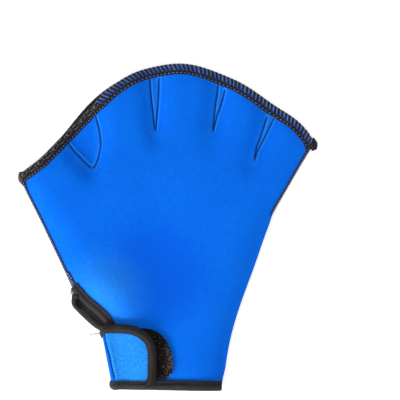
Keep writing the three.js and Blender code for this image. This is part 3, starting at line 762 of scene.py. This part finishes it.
def make_tape(name):
    edge = edges[name + "_binding"]
    width, start, end = TAPE_WIDTH[name], TAPE_START.get(name, 0), edge.length
    row = width - TAPE_STITCH["margin"]
    bm = bmesh.new()
    steps = max(2, round((end - start) / TAPE["step"]))
    bmesh.ops.create_grid(bm, x_segments=steps, y_segments=TAPE["rows"], size=1)
    uv = bm.loops.layers.uv.new("tape")
    for face in bm.faces:
        for loop in face.loops:
            along = start + (loop.vert.co.x + 1) / 2 * (end - start)
            loop[uv].uv = (along / MM, loop.vert.co.y * (width + 2 * HALF_SHEET) / MM)
    for vert in bm.verts:
        along = start + (vert.co.x + 1) / 2 * (end - start)
        u, w = fold_over(vert.co.y, width, TAPE["lift"])
        seam = bell(u - row, DIMPLE["width"])
        ripple = math.cos(math.tau * along / TAPE_STITCH["pitch"])
        sway = noise.noise(Vector((along / SWAY["wave"], vert.co.y, 0))) * SWAY["out"]
        sway += SWAY["scallop"] * ripple * (u > row)
        apart = math.copysign(3, w)
        plump = noise.noise(Vector((along / RIDGE["wave"], apart, 0)))
        plump = 1 + RIDGE["plump"] * plump
        ridge = bell(u - RIDGE["in"], RIDGE["width"]) * plump
        dimple = seam * (DIMPLE["rest"] + (1 - DIMPLE["rest"]) * ripple) * DIMPLE["depth"]
        w += math.copysign(ridge * RIDGE["height"] - dimple, w)
        vert.co = edge.place(along, u + sway * (u > 0), w)
    piece = new_piece(name + "_tape", bm, tape_weave)
    wall = piece.modifiers.new("thickness", "SOLIDIFY")
    wall.thickness = TAPE["thick"]
    wall.offset = 1
    print(piece.name, "is", round((end - start) / MM), "mm long")
    return piece


tapes = {name + "_binding": make_tape(name) for name in TAPE_WIDTH}

# %% [markdown]
# A thread is a small ring of points, extruded from point to point of a smooth route and turned to
# face along it. Stitches repeat, so one is modelled on a flat sheet, and its copies are bent to
# the cloth by the edge's ruler. A few versions keep the row from looking printed.

# %% Threads and rows of stitches
THREAD_SIDES = 6
ROUTE_STEP = 0.7 * MM


def add_thread(bm, points, width, finish=0, step=ROUTE_STEP, sides=THREAD_SIDES):
    """Extrudes a thread through some points, closed at both ends."""
    route = smooth_line([Vector(p) for p in points], step)
    last = len(route) - 1
    ways = [(route[min(i + 1, last)] - route[max(i - 1, 0)]).normalized() for i in range(last + 1)]
    stand = Matrix.Translation(route[0]) @ UP.rotation_difference(ways[0]).to_matrix().to_4x4()
    old_faces = len(bm.faces)
    ring = bmesh.ops.create_circle(bm, segments=sides, radius=width / 2, matrix=stand)["verts"]
    first = border = list({e for v in ring for e in v.link_edges})
    for i in range(1, last + 1):
        grown = bmesh.ops.extrude_edge_only(bm, edges=border)["geom"]
        ring = {g for g in grown if isinstance(g, bmesh.types.BMVert)}
        border = [g for g in grown
                  if isinstance(g, bmesh.types.BMEdge) and ring.issuperset(g.verts)]
        turn = ways[i - 1].rotation_difference(ways[i]).to_matrix()
        bmesh.ops.translate(bm, verts=list(ring), vec=route[i] - route[i - 1])
        bmesh.ops.rotate(bm, verts=list(ring), cent=route[i], matrix=turn)
    bmesh.ops.holes_fill(bm, edges=first + border, sides=sides)
    bm.faces.ensure_lookup_table()
    for face in bm.faces[old_faces:]:
        face.material_index = finish


def flat_stitch(threads, **make):
    """A mesh of one flat stitch, from its threads: points, width, number of the finish."""
    bm = bmesh.new()
    for points, width, finish in threads:
        add_thread(bm, points, width, finish, **make)
    bmesh.ops.recalc_face_normals(bm, faces=bm.faces)
    return closed("flat_stitch", bm)


def add_copy(bm, mesh, place):
    """Adds a mesh to a bmesh, each point where the function place puts it."""
    first = len(bm.verts)
    bm.from_mesh(mesh)
    bm.verts.ensure_lookup_table()
    for vert in bm.verts[first:]:
        vert.co = place(vert.co)


def lay(name, edge, spots, *finishes):
    """Lays flat stitches along an edge, each at its spot (stitch, t, stretch along)."""
    bm = bmesh.new()
    for stitch, t, stretch in spots:
        add_copy(bm, stitch, lambda p: edge.place(t + p.x * stretch, p.y, p.z))
    print(name, len(spots), "stitches,", len(bm.faces), "faces")
    return new_piece(name, bm, *finishes)


# %% [markdown]
# An overlock machine trims the finger edge and wraps it with yarn. Bars of thick yarn lean across
# the edge, round it and back below, and two rows of chain stitches hold them down. Where the bars
# part, the blue edge and a paler strand glint between them. Towards the thumb they lie closer,
# with pale flecks on them.

# %% Overlock on the finger edges
OVERLOCK = {"pitch": 3.0 * MM, "dense_pitch": 2.3 * MM, "deep": 5.5 * MM, "lean": 2.2 * MM}
YARN = {"bar": 0.85 * MM, "chain": 0.8 * MM, "pale": 0.7 * MM, "fleck": 0.46 * MM}
BAR_STRANDS = {"open": [-0.95, -0.2], "dense": [-1.1, -0.4, 0.3, 1.0]}
PALE_STRANDS = [0.65, 1.2]
DEPTH_SHARE = {"open": 0.94, "dense": 0.86}
CHAIN_ROWS = [5.2 * MM, 6.7 * MM]
CHAIN_OVERLAP = 1.04
CROSSING = {"rise": 0.5 * MM, "at": 0.4 * MM, "long": 1.2 * MM, "fleck": 0.3 * MM}
BAR = {"out": 0.45 * MM, "sunk": 0.2 * MM, "arch": 0.12 * MM, "thick": 0.55, "edge": 0.93}
BAR_PLAY = {"foot": 0.1 * MM, "turn": 0.06 * MM, "lie": 0.12 * MM, "deep": 0.25 * MM}
LINK = {"rise": 0.6, "sink": 0.4, "flat": 0.3, "play": 0.08 * MM}
STITCH_VERSIONS = 6
DENSE_FROM = 0.7
OVERSHOOT = 0.3
FLECK_COUNT = 3
PALE_BLUES = (0.006, 0.02, 0.12, 1), (0.26, 0.38, 0.74, 1)
GREYS = (0.07, 0.07, 0.10, 1), (0.72, 0.68, 0.78, 1)
pale_thread = thread_finish("pale_blue_thread", PALE_BLUES)
grey_thread = thread_finish("grey_thread", GREYS)


def wobble(size):
    return chance.uniform(-size, size)


def bar_route(at, deep, lean, thick):
    """Over the cloth, round its edge and back below, leaning along the edge."""
    foot, turn, lie, _ = BAR_PLAY.values()
    top = HALF_SHEET + thick * BAR["thick"]
    return [(at - lean + wobble(foot), deep, HALF_SHEET - BAR["sunk"]),
            (at - lean * 0.86, deep * 0.84, top + wobble(turn)),
            (at - lean * 0.45 + wobble(lie), deep * 0.42, top + BAR["arch"]),
            (at - lean * 0.06, deep * 0.05, top * BAR["edge"]),
            (at, -BAR["out"] + wobble(turn), 0),
            (at + lean * 0.06, deep * 0.05, -top * BAR["edge"]),
            (at + lean * 0.5 + wobble(lie), deep * 0.45, -top),
            (at + lean, deep, BAR["sunk"] - HALF_SHEET)]


def chain_link(at, row, long, thick, side, base=HALF_SHEET):
    """One stitch of a chain: it rises out of the cloth, lies on it and dives back in."""
    rise, sink, flat, play = LINK.values()
    top, low = (base + thick * rise) * side, (base - thick * sink) * side
    return [(at - long / 2, row, low), (at - long * flat, row + wobble(play), top),
            (at + long * flat, row + wobble(play), top), (at + long / 2, row, low)]


def overlock_stitch(kind):
    pitch, _, deep, lean = OVERLOCK.values()
    bar, chain, pale, fleck = YARN.values()
    foot, _, _, deeper = BAR_PLAY.values()
    threads = [(bar_route(s * MM + wobble(foot), deep + wobble(deeper), lean, bar), bar, 0)
               for s in BAR_STRANDS[kind]]
    if kind == "open":
        threads += [(bar_route(s * MM, deep * chance.uniform(0.5, 0.8), lean, pale * 0.2), pale, 1)
                    for s in PALE_STRANDS]
    else:
        for _ in range(FLECK_COUNT):
            width = fleck * chance.uniform(0.6, 1.1)
            bit = chain_link(wobble(1.2 * MM), chance.uniform(0.2, 3.6) * MM, 1.1 * MM, width, 1,
                             HALF_SHEET + bar * 0.9)
            threads.append((bit, width, chance.choice((1, 2, 2))))
    near, far = CHAIN_ROWS
    for row in CHAIN_ROWS:
        for side in (1, -1):
            at, u = wobble(0.15 * MM), row + wobble(0.2 * MM)
            threads.append((chain_link(at, u, pitch * CHAIN_OVERLAP, chain, side), chain, 0))
    top = HALF_SHEET + CROSSING["rise"]
    hook = [(-lean, far + 0.5 * MM, HALF_SHEET), (-lean * 0.7, near + 0.5 * MM, top),
            (-lean * 0.3, near - 0.6 * MM, top), (-lean * 0.1, far + 0.4 * MM, HALF_SHEET)]
    threads.append((hook, bar, 0))
    threads.append((chain_link(CROSSING["at"], (near + far) / 2, CROSSING["long"], fleck, 1,
                               HALF_SHEET + CROSSING["fleck"]), fleck, 2))
    share = DEPTH_SHARE[kind]
    return flat_stitch([([(at, u * share, w) for at, u, w in points], width, finish)
                        for points, width, finish in threads])


def overlock_spots(edge, dense_first):
    """Where the stitches go: closer together towards the thumb."""
    spots, t = [], 0.0
    while t < edge.length + OVERLOCK["pitch"] * OVERSHOOT:
        share = 1 - t / edge.length if dense_first else t / edge.length
        kind = "dense" if share > DENSE_FROM else "open"
        pitch = OVERLOCK["dense_pitch" if kind == "dense" else "pitch"]
        stitch = overlock_stitches[kind][len(spots) % STITCH_VERSIONS]
        spots.append((stitch, t + pitch / 2, pitch / OVERLOCK["pitch"]))
        t += pitch
    return spots


overlock_stitches = {k: [overlock_stitch(k) for _ in range(STITCH_VERSIONS)] for k in BAR_STRANDS}
overlocks = {}
for layer in ("front", "back"):
    name = layer + "_finger_overlock"
    spots = overlock_spots(edges[name], layer == "back")
    overlocks[name] = lay(layer + "_overlock_thread", edges[name], spots,
                          black_thread, pale_thread, grey_thread)

# %% [markdown]
# The same machine closes both sides, with a narrow seam round both panels at once. Its ruler
# therefore runs from the front of the front panel to the back of the back panel. It widens towards
# the slit, only its lower half is laid under the rolled edge, and at the little finger it runs on
# to the coil at the corner.

# %% Side seams
SIDE_SEAM = {"pitch": 1.75 * MM, "deep": 1.7 * MM, "yarn": 0.55 * MM, "lean": 0.5 * MM}
WIDE_DEEP = 3.4 * MM
WIDE_REACH = 13 * MM
HIDDEN_BELOW = 8 * MM
RUN_ON = {"little_finger_side_seam": 7.5 * MM}
LINK_OVERLAP = 1.05


def seam_stitch(kind):
    pitch, deep, yarn, lean = SIDE_SEAM.values()
    if kind == "wide":
        deep = WIDE_DEEP
    bars = [(bar_route(s * pitch + wobble(0.06 * MM), deep, lean, yarn), yarn, 0)
            for s in (-0.3, 0.05)]
    bars.append((bar_route(0.38 * pitch, deep * 0.8, lean, yarn * 0.5), yarn * 0.6, 1))
    if kind == "hidden":
        bars = [([(at, u, min(w, 0)) for at, u, w in route[4:]], width, finish)
                for route, width, finish in bars]
        return flat_stitch(bars + [(chain_link(0, deep, pitch * LINK_OVERLAP, yarn, -1), yarn, 0)])
    if kind == "wide":
        for _ in range(2):
            row = chance.uniform(0.6, 2.8) * MM
            bars.append((chain_link(wobble(0.4 * MM), row, 1.1 * MM, yarn, 1, HALF_SHEET + yarn),
                         yarn * 0.75, 1))
    links = [(chain_link(0, deep, pitch * LINK_OVERLAP, yarn, side), yarn, 0) for side in (1, -1)]
    return flat_stitch(bars + links)


def seam_kind(name, edge, t):
    if name == "thumb_side_seam":
        return "wide" if edge.length - t < WIDE_REACH else "plain"
    return "hidden" if edge.frame_at(t)[0].y < HIDDEN_BELOW else "plain"


def even_spots(length, pitch, choose):
    """Spots at an even step; choose gives the stitch for a spot's number and its place."""
    count = max(1, round(length / pitch))
    places = [(i + 0.5) * length / count for i in range(count)]
    return [(choose(i, t), t, 1) for i, t in enumerate(places)]


seam_stitches = {kind: [seam_stitch(kind) for _ in range(STITCH_VERSIONS)]
                 for kind in ("plain", "wide", "hidden")}
side_seams = {}
for name in SIDE_SEAMS:
    edge = Edge(sheets["front"].outer, sheets["back"].outer, runs["front"][name])
    spots = even_spots(edge.length + RUN_ON.get(name, 0), SIDE_SEAM["pitch"],
                       lambda i, t: seam_stitches[seam_kind(name, edge, t)][i % STITCH_VERSIONS])
    side_seams[name] = lay(name + "_thread", edge, spots, black_thread, grey_thread)

# %% [markdown]
# The webs and the tapes are sewn with a plain lockstitch: short dashes of thread that dive into the
# cloth at both ends. Navy thread lies in the grooves of the webs and worn black on the tapes.

# %% Lockstitches
WEB_STITCH = {"pitch": 2.1 * MM, "long": 1.8 * MM, "thick": 0.6 * MM}
NAVY_BLUES = (0.0004, 0.006, 0.05, 1), (0.001, 0.03, 0.20, 1)
WORN_BLACKS = (0.004, 0.004, 0.004, 1), (0.09, 0.08, 0.075, 1)
RAY = 100 * MM
navy_thread = thread_finish("navy_thread", NAVY_BLUES)
worn_thread = thread_finish("worn_black_thread", WORN_BLACKS)


def dash(size, row=0.0, base=HALF_SHEET, sides=(1,)):
    long, thick = size["long"], size["thick"]
    return flat_stitch([(chain_link(0, row, long, thick, side, base), thick, 0) for side in sides])


def sew(name, edge, stitch, pitch, finish):
    return lay(name, edge, even_spots(edge.length, pitch, lambda i, t: stitch), finish)


web_dash = dash(WEB_STITCH)
lockstitches = []
for title, layer, side, seams in [("front", "front", 1, web_seams), ("back", "back", -1, web_seams),
                                  ("top", "strap", 1, strap_seam)]:
    sheet = sheets[layer]
    for name, line in seams.lines.items():
        tops = [sheet.outer.ray_cast(p + UP * side * RAY, -UP * side)[0] for p in line[::3]]
        ruler = Edge(sheet.outer, sheet.inner, [p for p in tops if p is not None])
        lockstitches.append(sew(f"{title}_seam_{name}", ruler, web_dash, WEB_STITCH["pitch"],
                                navy_thread))

TAPE_TOP = HALF_SHEET + TAPE["lift"] + TAPE["thick"] - DIMPLE["depth"]
for name, width in TAPE_WIDTH.items():
    tape_dash = dash(TAPE_STITCH, width - TAPE_STITCH["margin"], TAPE_TOP, (1, -1))
    lockstitches.append(sew(name + "_tape_stitches", edges[name + "_binding"], tape_dash,
                            TAPE_STITCH["pitch"], worn_thread))

# %% [markdown]
# The fastener is a patch of soft loops on the front panel and a patch of stiff hooks under the
# strap. Each is a smooth base with short fibres at random places of its faces. At the loop patch's
# outer end many loops get a pale tan finish, a painted highlight for loops that stand apart and
# catch the light.

# %% Loops and hooks of the fastener
PILE = {"loops": {"count": 3400, "rise": 0.75 * MM, "spread": 0.55 * MM, "width": 0.24 * MM},
        "hooks": {"count": 700, "rise": 0.35 * MM, "spread": 0.2 * MM, "width": 0.22 * MM}}
FIBRE_VERSIONS = 8
GLINT = {"reach": 4.5 * MM, "share": 0.75, "rest": 0.04, "down": 40 * MM, "high": 0.35}
PILE_BLACKS = (0.001, 0.001, 0.001, 1), (0.016, 0.013, 0.012, 1)
# Painted highlight: the pale tan of loops that catch the light.
PILE_GLINT_SHADES = (0.06, 0.05, 0.05, 1), (0.62, 0.50, 0.44, 1)
pile_black = thread_finish("pile_black", PILE_BLACKS)
pile_glint = thread_finish("pile_glint", PILE_GLINT_SHADES)

loop_base = smooth_copy("loop_patch", "loop_base", pile_black, mark_flat_sides)
hook_base = smooth_copy("hook_patch", "hook_base", pile_black, mark_flat_sides)


def fibre(size, finish):
    """A mesh of one looped fibre that stands on the flat."""
    spread, width = size["spread"], size["width"]
    peak = (spread * 0.7, wobble(spread * 0.3), size["rise"] * chance.uniform(0.6, 1.1))
    return flat_stitch([([(0, 0, -width), peak, (spread * 1.8, 0, 0)], width, finish)],
                       step=1, sides=3)


def grow_pile(name, base, mark, kind, pale_at):
    """Stands fibres on one side of a patch; pale_at is the chance of a pale one at a place."""
    size = PILE[kind]
    fibres = [[fibre(size, finish) for _ in range(FIBRE_VERSIONS)] for finish in (0, 1)]
    cloth = opened(base.data)
    side = cloth.faces.layers.int["side"]
    faces = [(f.calc_area(), [v.co for v in f.verts], f.normal)
             for f in cloth.faces if f[side] == mark]
    bm = bmesh.new()
    for _, (p, q, r, s), normal in chance.choices(faces, [f[0] for f in faces], k=size["count"]):
        a, b = chance.random(), chance.random()
        foot = p.lerp(q, a).lerp(s.lerp(r, a), b)
        turn = UP.rotation_difference(normal) @ Quaternion(UP, chance.uniform(0, math.tau))
        one = chance.choice(fibres[chance.random() < pale_at(foot)])
        add_copy(bm, one, lambda point: foot + turn @ point)
    print(name, len(bm.faces), "faces")
    return new_piece(name, bm, pile_black, pile_glint)


patch_low, patch_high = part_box("loop_patch")


def glint(place):
    """The chance of a pale loop, a painted highlight: most at the patch's outer end, towards the
    wrist.
    """
    from_end = max(0, patch_high.x - place.x)
    down = 1 - min(1, max(0, place.y - patch_low.y) / GLINT["down"])
    share = GLINT["share"] * (GLINT["high"] + (1 - GLINT["high"]) * down)
    return GLINT["rest"] + share * bell(from_end, GLINT["reach"])


loop_pile = grow_pile("loop_pile", loop_base, OUTER, "loops", glint)
hook_pile = grow_pile("hook_pile", hook_base, INNER, "hooks", lambda place: 0)

# %% [markdown]
# Where seams end, the thread is wound round the corner a few times and knotted off. One function
# makes all these coils, and a loose end is left at the strap.

# %% Thread ends
BROWNS = (0.012, 0.010, 0.008, 1), (0.17, 0.145, 0.12, 1)
brown_thread = thread_finish("brown_thread", BROWNS)
COILS = {  # in mm: middle, way of the axis, radius, turns, length, thickness, finish
    "thumb_corner": ((-99.4, 33.2, 3.6), (0.3, -0.95, 0), 2.7, 7, 9.0, 1.4, brown_thread),
    "little_corner": ((100.4, 56.8, 3.8), (0.25, -0.97, 0), 2.5, 7, 8.0, 1.4, black_thread),
    "slit_knot": ((-65.4, -45.2, 5.4), (0.6, -0.8, 0), 1.1, 4, 2.8, 0.7, grey_thread),
}
COIL_SHARPNESS = 8
COIL_SHAPE = {"ends": 0.5, "swell": 0.6, "flat": 0.9, "wobble": 0.1}
LOOSE_ROUTE = [(-43.5, -73.9, 7.5), (-47.2, -73.4, 5.0), (-50.6, -74.0, 3.6), (-53.4, -74.6, 3.2)]
LOOSE_THICK = 0.5


def coil(name, at, way, radius, turns, long, thick, finish):
    """A short flat coil of thread round an axis through a place."""
    ends, swelling, flat, play = COIL_SHAPE.values()
    axis = Vector(way).normalized()
    across = axis.cross(UP)
    points = []
    for i in range(turns * COIL_SHARPNESS + 1):
        share = i / (turns * COIL_SHARPNESS)
        angle = math.tau * share * turns
        swell = radius * (ends + swelling * math.sin(math.pi * share)) + wobble(play)
        points.append(Vector(at) + axis * long * (share - 0.5) + across * math.cos(angle) * swell
                      + UP * math.sin(angle) * swell * flat)
    bm = bmesh.new()
    add_thread(bm, [p * MM for p in points], thick * MM, step=1, sides=7)
    bmesh.ops.recalc_face_normals(bm, faces=bm.faces)
    print(name, turns, "turns")
    return new_piece(name, bm, finish)


thread_ends = [coil(name, *size) for name, size in COILS.items()]
loose = bmesh.new()
add_thread(loose, [Vector(p) * MM for p in LOOSE_ROUTE], LOOSE_THICK * MM)
thread_ends.append(new_piece("loose_thread_end", loose, black_thread))

# %% [markdown]
# At the mouth of the slit the tape turns from the front edge to the back edge, and at the wrist
# the strap's tape is folded under into a small knob. Both are a short stuffed roll of tape.

# %% Tape turns
TAPE_ROLLS = {  # thickness and route in mm
    "slit_turn": (4.4, [(-60.6, -48.0, 6.2), (-63.3, -48.2, 5.2), (-64.0, -51.4, 4.0),
                        (-63.0, -54.8, 3.0), (-60.2, -57.4, 2.4)]),
    "strap_knob": (4.2, [(-30.5, -109.2, 6.4), (-34.8, -110.6, 6.6), (-37.6, -109.8, 6.2),
                         (-38.0, -107.0, 5.6)]),
}
TAPE_TWIST = 0.9 * MM
CRUMPLE = {"size": 2.5 * MM, "out": 0.35}


def tape_roll(name, thick, route):
    bm = bmesh.new()
    add_thread(bm, [Vector(p) * MM for p in route], thick * MM, sides=12)
    for vert in bm.verts:
        vert.co += vert.normal * noise.noise(vert.co / CRUMPLE["size"]) * CRUMPLE["out"] * MM
    piece = new_piece(name, bm, tape_cloth)
    subdivide(piece, levels=1)
    return piece


tape_cloth = thread_finish("tape_cloth", TAPE_BLACKS, TAPE_TWIST)
tape_rolls = [tape_roll(name, *size) for name, size in TAPE_ROLLS.items()]
print("tape rolls:", [roll.name for roll in tape_rolls])

# %% [markdown]
# The pieces ride on the one body of the glove. The table groups them by the slot that their
# finish belongs to, with the CAD node each one stands for, and that node is hidden.

# %% What stands for what
PIECES = {  # for each slot, the pieces that stand for a CAD node and the other ones
    "panel_sheet": ({"front_panel": front_cloth, "back_panel": back_cloth}, []),
    "strap_sheet": ({"closure_strap": strap_cloth}, []),
    "edge_tape": (tapes, tape_rolls),
    "edge_thread": ({**overlocks, **side_seams}, lockstitches + thread_ends),
    "fastener": ({"loop_patch": loop_base, "hook_patch": hook_base}, [loop_pile, hook_pile]),
}
for cloth in (front_cloth, back_cloth, strap_cloth):
    print(cloth.name, "area in m2:", sum(f.area for f in cloth.data.polygons) / 2)
for slot, (stand_ins, extras) in PIECES.items():
    for piece in [*stand_ins.values(), *extras]:
        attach(piece, "root")
    for node, piece in stand_ins.items():
        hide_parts(node)

# %% [markdown]
# The floor is a pale sheet just under the glove. It glows a little, as a light table does, so that
# the background is clean white. It isn't part of the object.

# %% Floor
FLOOR_SIZE = 2.5
FLOOR_GAP = 0.1 * MM
FLOOR_GLOW = 0.55

low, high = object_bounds()
floor_mesh = bmesh.new()
bmesh.ops.create_grid(floor_mesh, x_segments=1, y_segments=1, size=FLOOR_SIZE / 2)
bmesh.ops.translate(floor_mesh, verts=floor_mesh.verts, vec=UP * (low.z - FLOOR_GAP))
pale = Finish("pale_floor", Roughness=0.9, Emission_Color=(1, 1, 1, 1),
              Emission_Strength=FLOOR_GLOW)
pale.paint(pale.noise(pale.coordinates(), 40 * MM), (0.9, 0.9, 0.9, 1), (0.92, 0.92, 0.92, 1))
floor = new_piece("floor", floor_mesh, pale.material)
print("floor is at", round((low.z - FLOOR_GAP) / MM, 2), "mm")

# %% [markdown]
# Last, the size of the dressed glove is printed.

# %% Sizes and the end
print("dressed box in mm:", [round(c / MM, 1) for c in (*low, *high)])
